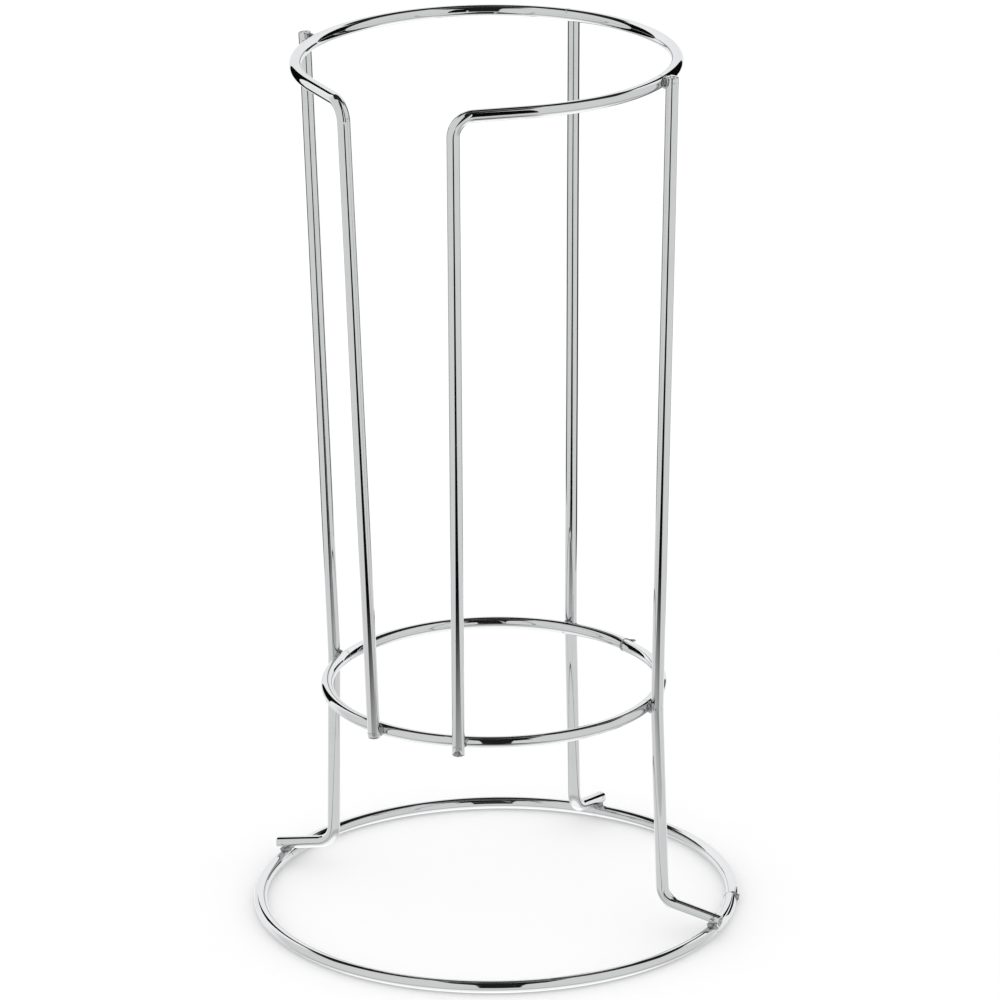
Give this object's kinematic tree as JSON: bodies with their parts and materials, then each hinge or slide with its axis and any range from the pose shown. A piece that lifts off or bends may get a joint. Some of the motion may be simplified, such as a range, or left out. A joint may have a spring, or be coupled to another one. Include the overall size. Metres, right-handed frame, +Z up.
{
  "type": "umbrella stand",
  "caption": "Free-standing open-front cage of bent chromed wire for umbrellas: wide floor ring, cranked legs, raised support ring, and a top hoop folded down into uprights.",
  "frame": {"origin": "on the floor, in the middle of the base ring", "axes": "+Z up, the open front faces -Y, +X to the right seen from the front"},
  "size_m": [0.2774, 0.2747, 0.4908],
  "materials": {
    "chromed_wire": "mirror-bright chrome plate on drawn round wire",
    "weld": "chrome plate over uneven resistance welds"
  },
  "bodies": {
    "root": {"base_ring": "chromed_wire", "support_ring": "chromed_wire", "top_hoop": "chromed_wire", "right_leg": "chromed_wire", "back_leg": "chromed_wire", "left_leg": "chromed_wire", "right_leg_hoop_weld": "weld", "right_leg_ring_weld": "weld", "right_leg_base_weld": "weld", "back_leg_hoop_weld": "weld", "back_leg_ring_weld": "weld", "back_leg_base_weld": "weld", "left_leg_hoop_weld": "weld", "left_leg_ring_weld": "weld", "left_leg_base_weld": "weld", "left_upright_weld": "weld", "right_upright_weld": "weld", "base_ring_joint_weld": "weld", "support_ring_joint_weld": "weld"}
  },
  "joints": []
}
